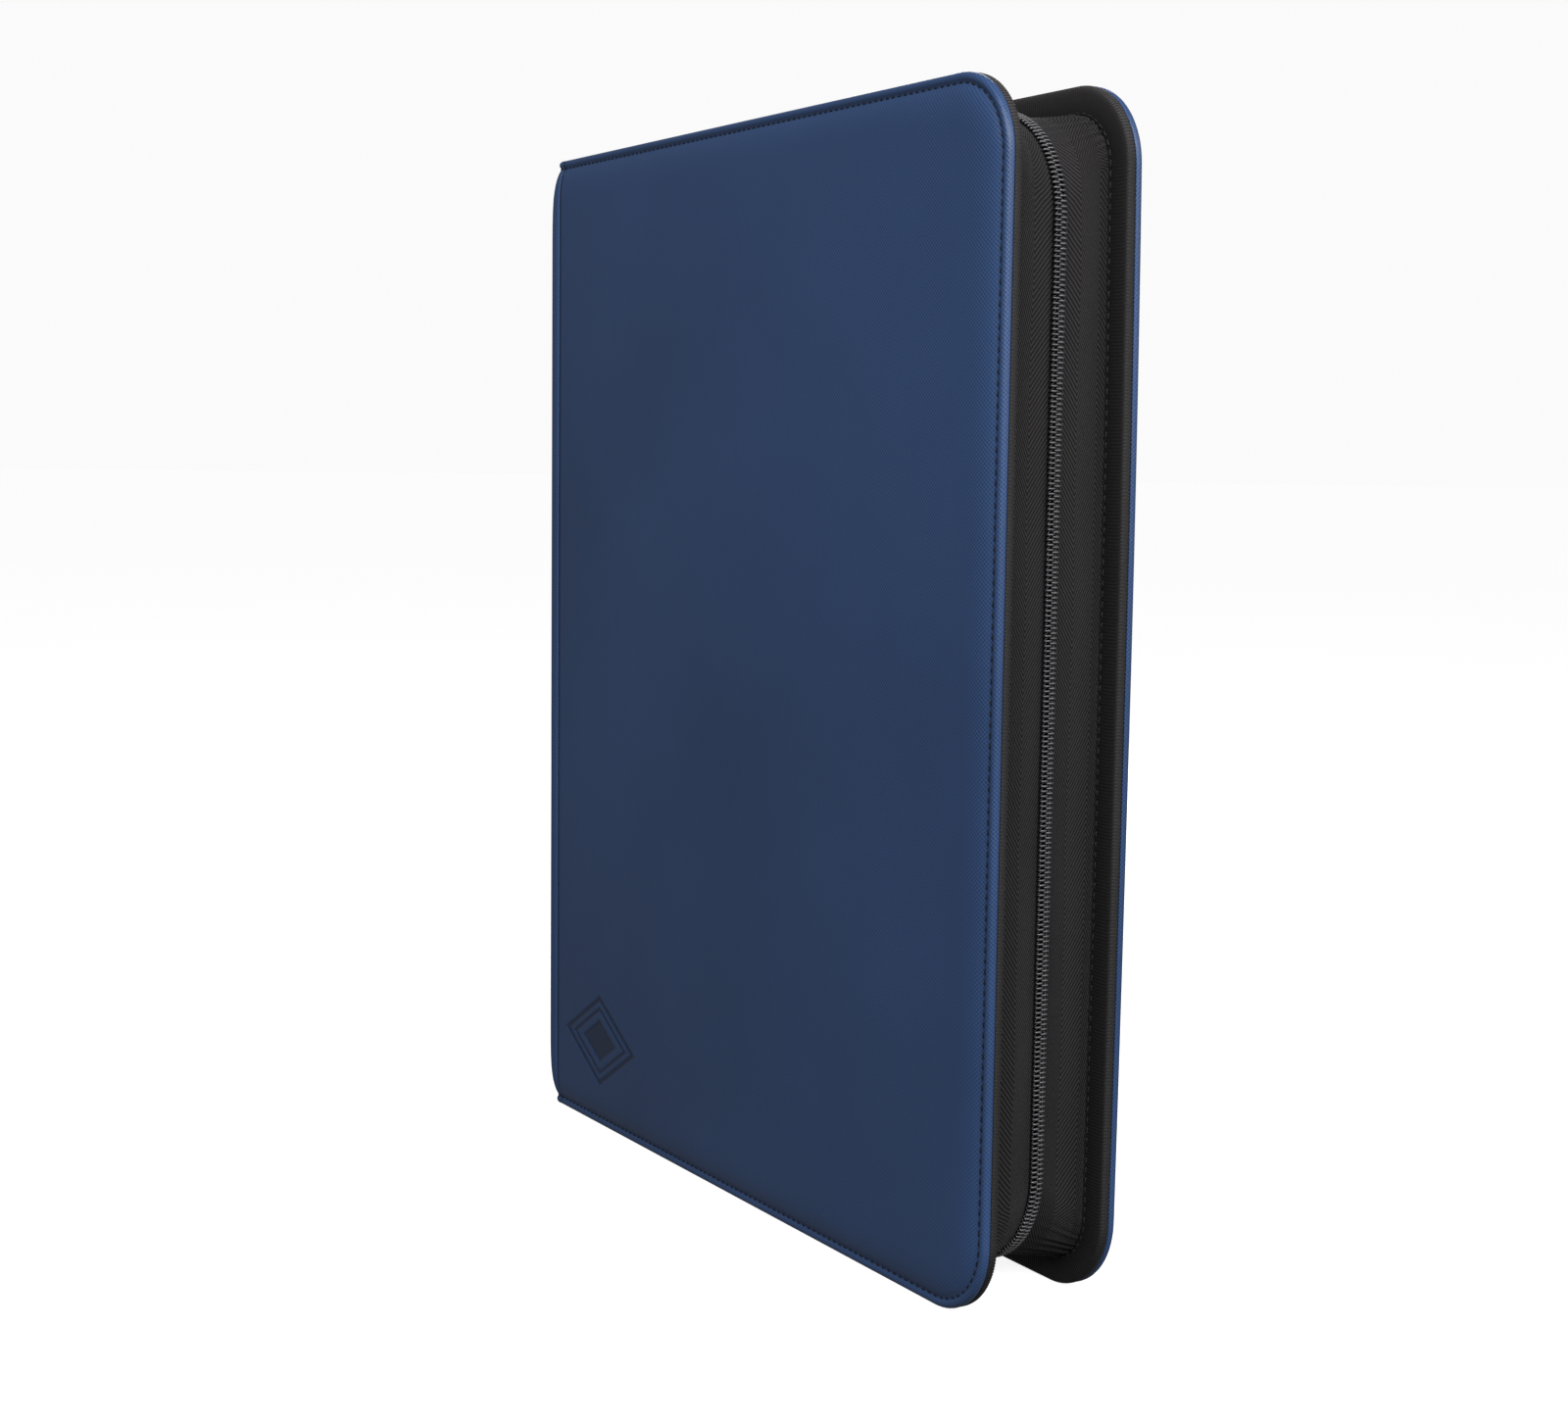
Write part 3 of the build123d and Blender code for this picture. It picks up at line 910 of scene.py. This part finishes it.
class Gusset:
    """Half of the zip gusset: a band between its foot on a cover and the chain."""

    foot_inset = ZIP_INSET
    chain_inset = ZIP_INSET - 0.2

    def __init__(self, side, step):
        self.side = side
        start = TAPE_LOW[0]
        self.chain = even_edge(self.chain_inset, ZIP_RADIUS, step, start)
        self.foot_line, self.foot_normals, _ = self.chain.ring(self.foot_inset, TAPE_FOOT_RADIUS)
        self.chain_line, self.chain_normals, self.distance = self.chain.ring(
            self.chain_inset, ZIP_RADIUS
        )

    def pucker(self, share):
        """Small folds that gather the band at the corners, strongest near its foot."""
        middle = (self.chain_line[:, 1] - HEIGHT / 2) / (HEIGHT / 2)
        corner = np.exp(-(((self.chain_line[:, 0] - (RIGHT - 22)) / 20.0) ** 2))
        corner = corner * np.clip((np.abs(middle) - 0.80) / 0.1, 0, 1)
        folds = 0.5 * np.sin(self.distance / 0.75) + 0.3 * np.sin(self.distance / 0.47 + 1.3)
        long_wave = 0.28 * np.sin(self.distance / 17.0) + 0.18 * np.sin(self.distance / 7.3 + 0.8)
        return corner * folds * (1 - share) ** 1.2 + long_wave * math.sin(math.pi * share) ** 2

    def place(self, share, lift):
        """A row of points: share runs from 0 at the cover to 1 at the middle of the chain."""
        along = self.foot_line * (1 - share) + self.chain_line * share
        out = unit(self.foot_normals * (1 - share) + self.chain_normals * share)
        xz = along + out * (lift + self.pucker(share))[:, None]
        lean = sag(self.side, xz[:, 0], xz[:, 1])
        y = self.side * (HALF_THICKNESS - COVER_THICKNESS - lean) * (1 - share)
        return np.stack([xz[:, 0], y, xz[:, 1]], 1)


TAPE_SECTION = (
    (0.0, -0.15), (0.03, 0.35), (0.10, 0.55), (0.2, 0.42), (0.32, 0.38), (0.45, 0.36), (0.58, 0.32),
    (0.70, 0.22), (0.79, 0.12), (0.84, 0.16), (0.87, 0.18), (0.90, 0.03), (0.945, 0.0),
)
TAPE_THICKNESS = 0.55


def zip_tape(name, side):
    gusset = Gusset(side, 0.7)
    flat = np.ones_like(gusset.distance)
    over = [gusset.place(share, flat * lift) for share, lift in TAPE_SECTION]
    under = [gusset.place(share, flat * (lift - TAPE_THICKNESS)) for share, lift in TAPE_SECTION]
    rings = np.stack(over + under[::-1], 1)
    shares = [share for share, _ in TAPE_SECTION]
    width = HALF_THICKNESS - COVER_THICKNESS
    across = np.array(shares + shares[::-1]) * width
    uv = np.stack([
        np.repeat(gusset.distance[:, None], len(across), 1),
        np.repeat(across[None, :], len(gusset.distance), 0),
    ], 2)
    if side == FRONT_SIDE:
        rings = notch(rings)
    return tube(name, rings, TAPE, uv)


_, SLIDER_HIGH = span("slider_body")
NOTCH_Y = 5.1


def notch(rings):
    """Fold the front tape's inner edge back beside the parked slider, clear of its flange."""
    at_slider = (rings[:, 0, 0] < SLIDER_HIGH[0] + 1.0) & (rings[:, 0, 2] > HEIGHT / 2)
    pulled = rings.copy()
    pulled[at_slider, :, 1] = np.minimum(pulled[at_slider, :, 1], -NOTCH_Y)
    return pulled


FILAMENT = 0.37
COIL_HALF_WIDTH = 1.08
COIL_MIDDLE = 1.0  # from the middle plane to the middle of each coil
COIL_STEPS = 16


def flattened(value, power):
    """A sine or cosine pushed out towards a square corner."""
    return np.sign(value) * np.abs(value) ** power


def zip_coil(name, side):
    """The monofilament coil on one tape, its turns half a pitch from the other's."""
    gusset = Gusset(side, 0.5)
    past_slider = SLIDER_HIGH[0] - TAPE_LOW[0] if side == FRONT_SIDE else 0.0
    turns = int((gusset.distance[-1] - past_slider - 1.5) / COIL_PITCH)
    theta = np.arange(turns * COIL_STEPS + 1) * 2 * math.pi / COIL_STEPS
    turn, within = np.divmod(theta, 2 * math.pi)
    # Each leg crosses the outside squarely, and the coil moves on a turn underneath.
    advance = smooth((within - math.pi) / math.pi)
    shift = 0.0 if side == FRONT_SIDE else 0.5
    along = (turn + advance + shift) * COIL_PITCH + 0.6
    across = COIL_MIDDLE - COIL_HALF_WIDTH * flattened(np.cos(theta), 0.7)
    out = COIL_HALF_HEIGHT * flattened(np.sin(theta), 0.6)
    line, facing = resample(gusset.chain_line, gusset.chain_normals, gusset.distance, along)
    xz = line + facing * (0.25 + COIL_HALF_HEIGHT + FILAMENT + out)[:, None]
    middle = np.stack([xz[:, 0], side * across, xz[:, 1]], 1)
    tangent = unit(np.gradient(middle, axis=0))
    upright = np.stack([facing[:, 1], np.zeros(len(facing)), -facing[:, 0]], 1)
    normal = unit(np.cross(tangent, upright))
    binormal = np.cross(tangent, normal)
    angle = np.linspace(0, 2 * math.pi, 7)[:-1]
    rings = middle[:, None, :] + FILAMENT * (
        np.cos(angle)[None, :, None] * normal[:, None, :]
        + np.sin(angle)[None, :, None] * binormal[:, None, :]
    )
    uv = np.repeat(np.stack([along, out], 1)[:, None], len(angle), 1)
    return tube(name, rings, NYLON, uv)


# ---------------------------------------------------------------- dress the binder


def give(piece, body, slot, *nodes):
    """Ride a piece on a body and let it stand for CAD nodes, which are hidden; the slot is not used."""
    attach(piece, body)
    if nodes:
        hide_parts(*nodes)
    return piece


def bend(piece, slot):
    """Bake a piece's transform into its mesh; it is not blended into any body."""
    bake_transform(piece)


def dress_cover(side, label):
    body = f"{label}_cover"
    fine = side == FRONT_SIDE
    leather = cover_sheet(
        f"{label}_leather", side, leather_edge(fine), LEATHER_EDGE, LEATHER_CROWN, LEATHER,
        emblem_depth if fine else None,
    )
    give(leather, body, "navy_leather", f"{label}_skin", f"{label}_foam")
    groove = dict(LEATHER_EDGE)[STITCH_INSET] - 0.1
    outside = build(f"{label}_seam", *cover_stitches(side, STITCH_INSET, groove, 1)[:2], THREAD)
    give(outside, body, "navy_leather")
    inside_depth = dict(BINDING_EDGE)[INSIDE_SEAM_INSET] + 0.12
    stitched = cover_stitches(side, INSIDE_SEAM_INSET, inside_depth, -1)[:2]
    inside = build(f"{label}_seam_inside", *stitched, BLACK_THREAD)
    give(inside, body, "binding_tape")
    give(cover_binding(f"{label}_ribbed_binding", side), body, "binding_tape", f"{label}_edge_binding")
    lining_edge = even_edge(PAD_INSET, COVER_RADIUS - PAD_INSET, 5.0)
    lining = cover_sheet(
        f"{label}_lining_sheet", side, lining_edge, LINING_EDGE, -0.25, LINING, thickness=-0.35
    )
    give(lining, body, "lining_fabric", f"{label}_lining")
    tape = zip_tape(f"{label}_woven_tape", side)
    give(tape, body, "zip_tape", f"{label}_zip_tape")
    length = Gusset(side, 5.0).distance[-1] * MM
    give(zip_coil(f"{label}_coil", side), body, "coil", f"{label}_zip_coil")


def dress_hinge(side, label):
    leather = hinge_sheet(side, f"{label}_hinge_leather")
    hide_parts(f"{label}_hinge_strip")
    seam = build(f"{label}_hinge_seam", *hinge_stitches(side)[:2], THREAD)
    pieces = [
        (leather, "navy_leather"),
        (hinge_lining(side, f"{label}_hinge_lining"), "lining_fabric"),
        (seam, "navy_leather"),
        (hinge_binding(f"{label}_hinge_binding_low", side, True), "binding_tape"),
        (hinge_binding(f"{label}_hinge_binding_high", side, False), "binding_tape"),
    ]
    for piece, slot in pieces:
        bend(piece, slot)


def dress_spine():
    leather = spine_sheet()
    give(leather, "spine", "navy_leather", "spine_skin", "spine_foam")
    give(build("spine_seams", *end_stitches_on_spine()[:2], THREAD), "spine", "navy_leather")
    low, low_uv = spine_binding(low_end=True)
    high, high_uv = spine_binding(low_end=False)
    give(tube("spine_binding_low", low, BINDING, low_uv), "spine", "binding_tape", "spine_edge_bindings")
    give(tube("spine_binding_high", high, BINDING, high_uv), "spine", "binding_tape")


def panel(name, low, high, material, ripple=0.0, step=6.0):
    """A thin closed sheet in the box between two corners, thin along x or y."""
    thin = int(np.argmin((high - low)[:2]))
    wide = 1 - thin
    across, up = steps(low[wide], high[wide], step), steps(low[2], high[2], step)
    us, vs = np.meshgrid(across, up)
    wave = ripple * (np.sin(vs / 23.0 + us / 31.0) + 0.6 * np.sin(vs / 9.0 - us / 13.0))
    sheets = []
    for face in (low[thin], high[thin]):
        points = np.zeros((*us.shape, 3))
        points[..., thin] = face + wave
        points[..., wide] = us
        points[..., 2] = vs
        sheets.append(points.reshape(-1, 3))
    flat = np.stack([us.ravel(), vs.ravel()], 1)
    uv = np.concatenate([flat, flat])
    return build(name, np.concatenate(sheets), two_skins(*us.shape), material, uv)


def box_part(low, high):
    """A plain bar, for joining into a net of welds."""
    corners = np.array([[x, y, z] for x in (low[0], high[0]) for y in (low[1], high[1])
                        for z in (low[2], high[2])])
    faces = [[0, 1, 3, 2], [4, 6, 7, 5], [0, 4, 5, 1], [2, 3, 7, 6], [0, 2, 6, 4], [1, 5, 7, 3]]
    return corners, faces, corners[:, [0, 2]]


POCKETS = 3
WELD_WIDTH = 2.0
FILM_THICKNESS = 0.2
POCKET_RISE = 1.7


def pocket_film(corner, size, base, outward, phase):
    """One pocket's film: flat over the holder's place, soft at its edges, a little slack."""
    u, v = np.meshgrid(np.linspace(-1, 1, 17), np.linspace(-1, 1, 21))
    u, v = np.sign(u) * np.abs(u) ** 0.7, np.sign(v) * np.abs(v) ** 0.7
    rise = (1 - np.abs(u) ** 8) * (1 - np.abs(v) ** 8)
    slack = 0.12 * np.sin(3.1 * u + 2.3 * v + phase) + 0.07 * np.sin(5.3 * v - 2.9 * u + 2 * phase)
    height = 0.15 + (POCKET_RISE - 0.2 + slack) * rise
    x, z = corner[0] + (u + 1) / 2 * size[0], corner[1] + (v + 1) / 2 * size[1]
    skins = [
        np.stack([x, base + outward * (height + lift), z], 2).reshape(-1, 3)
        for lift in (0.0, FILM_THICKNESS)
    ]
    flat = np.stack([x.ravel(), z.ravel()], 1)
    return np.concatenate(skins), two_skins(*u.shape), np.concatenate([flat, flat])


def page_side(number, label, outward):
    """A page's nine clear pockets on one side, and the welds that part them."""
    low, high = span(f"page_{number}_{label}_pockets")
    backing_low, backing_high = span(f"page_{number}_backing")
    base = backing_low[1] if outward < 0 else backing_high[1]
    pitch = (high - low - WELD_WIDTH)[[0, 2]] / POCKETS
    films, bars = [], []
    for column in range(POCKETS):
        for row in range(POCKETS):
            corner = np.array([low[0], low[2]]) + WELD_WIDTH + pitch * (column, row) - 0.3
            size = pitch - WELD_WIDTH + 0.6
            films.append(pocket_film(corner, size, base, outward, 1.7 * column + 2.9 * row + number))
    thick = sorted((base - outward * 0.05, base + outward * 0.28))
    for line in range(POCKETS + 1):
        x, z = low[0] + pitch[0] * line, low[2] + pitch[1] * line
        bars.append(box_part((x, thick[0], low[2] + 5), (x + WELD_WIDTH, thick[1], high[2] - 5)))
        if line < POCKETS:
            bars.append(box_part((low[0] + 5, thick[0], z), (high[0] - 5, thick[1], z + WELD_WIDTH)))
    body = f"page_{number}"
    node = f"page_{number}_{label}_pockets"
    points, faces, uv = join(films)
    film = build(f"page_{number}_{label}_film", points, faces, FILM, uv)
    give(film, body, "clear_film", node)
    points, faces, uv = join(bars)
    weld = build(f"page_{number}_{label}_welds", points, faces, WELD, uv)
    give(weld, body, "clear_film")


def page_leader(number):
    """The soft strip that a page turns on."""
    low, high = span(f"page_{number}_leader")
    leader = panel(f"page_{number}_soft_leader", low, high, PAGE, step=1.2)
    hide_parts(f"page_{number}_leader")
    bend(leader, "page_plastic")


def dress_inside():
    """The spine's lining, the ends of the gusset, and the pages."""
    low, high = span("spine_lining")
    lining = panel("spine_lining_sheet", low, high, LINING, 0.06)
    give(lining, "spine", "lining_fabric", "spine_lining")
    low, high = span("gusset_ends")
    for word, z in (("low", (low[2], low[2] + 1.0)), ("high", (high[2] - 1.0, high[2]))):
        flap = gusset_flap(f"gusset_flap_{word}", low, high, z)
        give(flap, "spine", "zip_tape", *(["gusset_ends"] if word == "low" else []))
    for number in range(1, 9):
        page_leader(number)
        page_side(number, "front", -1)
        page_side(number, "back", 1)


def gusset_flap(name, low, high, z):
    """The fold of tape that closes the gusset at one end of the spine."""
    ys = steps(low[1], high[1], 0.8)
    dip = 0.25 * np.sin(ys / 2.1) + 0.15 * np.sin(ys / 0.9 + 1)
    rings = np.stack([
        np.stack([np.full_like(ys, x), ys, level + dip * (0.4 if x == low[0] else 1.0)], 1)
        for x, level in ((low[0], z[0]), (high[0], z[0]), (high[0], z[1]), (low[0], z[1]))
    ], 1)
    uv = np.stack([np.repeat(ys[:, None], 4, 1), np.tile([0.0, 2.8, 3.8, 6.6], (len(ys), 1))], 2)
    return tube(name, rings, TAPE, uv)


def finish_cad_nodes():
    """Materials for the CAD nodes that stay as they are."""
    for node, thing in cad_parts.items():
        if thing.hide_render:
            continue
        if node == "spine_board":
            chosen = LINING  # it wraps the board's ends, which show as the covers open
        elif node.endswith("board"):
            chosen = BOARD
        elif node in ("slider_body", "pull_tab"):
            chosen = ENAMEL
        else:
            chosen = PAGE
        thing.data.materials.clear()
        thing.data.materials.append(chosen)


# ---------------------------------------------------------------- camera, light and floor


CAMERA_PLACE = (0.692, -0.4335, 0.258)
CAMERA_AZIMUTH, CAMERA_ELEVATION, CAMERA_ROLL = 58.43, 6.17, 0.75  # degrees
CAMERA_LENS = 54.2
ROOM_LIGHT, ROOM_SEEN = 0.17, 0.96
FLOOR_GLOW = 0.9


def add_camera():
    """The camera, looking at the front cover and the fore-edge from a little above."""
    azimuth, elevation, roll = map(
        math.radians, (CAMERA_AZIMUTH, CAMERA_ELEVATION, CAMERA_ROLL)
    )
    forward = Vector((
        -math.sin(azimuth) * math.cos(elevation),
        math.cos(azimuth) * math.cos(elevation),
        -math.sin(elevation),
    ))
    right = forward.cross(Vector((0, 0, 1))).normalized()
    up = right.cross(forward)
    turned_right = right * math.cos(roll) + up * math.sin(roll)
    turned_up = up * math.cos(roll) - right * math.sin(roll)
    data = bpy.data.cameras.new("camera")
    data.sensor_width = 36.0
    data.lens = CAMERA_LENS
    camera = bpy.data.objects.new("camera", data)
    axes = Matrix((turned_right, turned_up, -forward)).transposed()
    camera.matrix_world = Matrix.Translation(CAMERA_PLACE) @ axes.to_4x4()
    bpy.context.collection.objects.link(camera)
    bpy.context.scene.camera = camera


def area_light(name, place, target, size, power, colour=(1, 1, 1)):
    data = bpy.data.lights.new(name, "AREA")
    data.shape = "RECTANGLE"
    data.size, data.size_y = size
    data.energy = power
    data.color = colour
    light = bpy.data.objects.new(name, data)
    light.location = place
    light.rotation_euler = (Vector(target) - Vector(place)).to_track_quat("-Z", "Y").to_euler()
    bpy.context.collection.objects.link(light)


def add_room():
    """A white backdrop, whose light on the binder is much softer than it looks."""
    world = bpy.data.worlds.new("room")
    world.use_nodes = True
    tree = world.node_tree
    seen = tree.nodes.new("ShaderNodeLightPath").outputs["Is Camera Ray"]
    strength = tree.nodes.new("ShaderNodeMapRange")
    strength.inputs["To Min"].default_value = ROOM_LIGHT
    strength.inputs["To Max"].default_value = ROOM_SEEN
    tree.links.new(seen, strength.inputs["Value"])
    tree.nodes["Background"].inputs["Color"].default_value = (1.0, 1.0, 1.0, 1.0)
    tree.links.new(strength.outputs["Result"], tree.nodes["Background"].inputs["Strength"])
    bpy.context.scene.world = world


def add_floor():
    """A pale floor, kept out of the binder's reflections."""
    floor = Graph("pale_floor", roughness=0.8, specular=0.1)
    floor.colour(floor.ramp(floor.noise(3.0), (0.3, (0.38, 0.38, 0.38)), (0.7, (0.40, 0.40, 0.40))))
    floor.shader.inputs["Emission Color"].default_value = (1.0, 1.0, 1.0, 1.0)
    floor.shader.inputs["Emission Strength"].default_value = FLOOR_GLOW
    mesh = bpy.data.meshes.new("floor")
    work = bmesh.new()
    bmesh.ops.create_circle(work, cap_ends=True, segments=96, radius=30.0)
    work.to_mesh(mesh)
    work.free()
    mesh.materials.append(floor.material)
    ground = bpy.data.objects.new("floor", mesh)
    ground.visible_glossy = False
    ground.visible_diffuse = False
    bpy.context.collection.objects.link(ground)


def add_lights():
    middle = (0, 0, 0.7 * HEIGHT * MM)
    area_light("key", (0.60, -0.75, 1.0), middle, (0.7, 0.7), 12)
    area_light("rake", (1.40, -0.30, 0.95), middle, (0.6, 0.6), 19)
    area_light("side", (1.15, 0.65, 0.85), middle, (0.7, 0.9), 9)
    area_light("back", (-0.9, 0.8, 0.7), middle, (0.5, 0.9), 8)



# ---------------------------------------------------------------- put it together

for cover_side, cover_label in ((FRONT_SIDE, "front"), (BACK_SIDE, "back")):
    dress_cover(cover_side, cover_label)
    dress_hinge(cover_side, cover_label)
dress_spine()
dress_inside()
finish_cad_nodes()
add_camera()
add_room()
add_floor()
add_lights()
bpy.context.scene.view_settings.view_transform = "Standard"
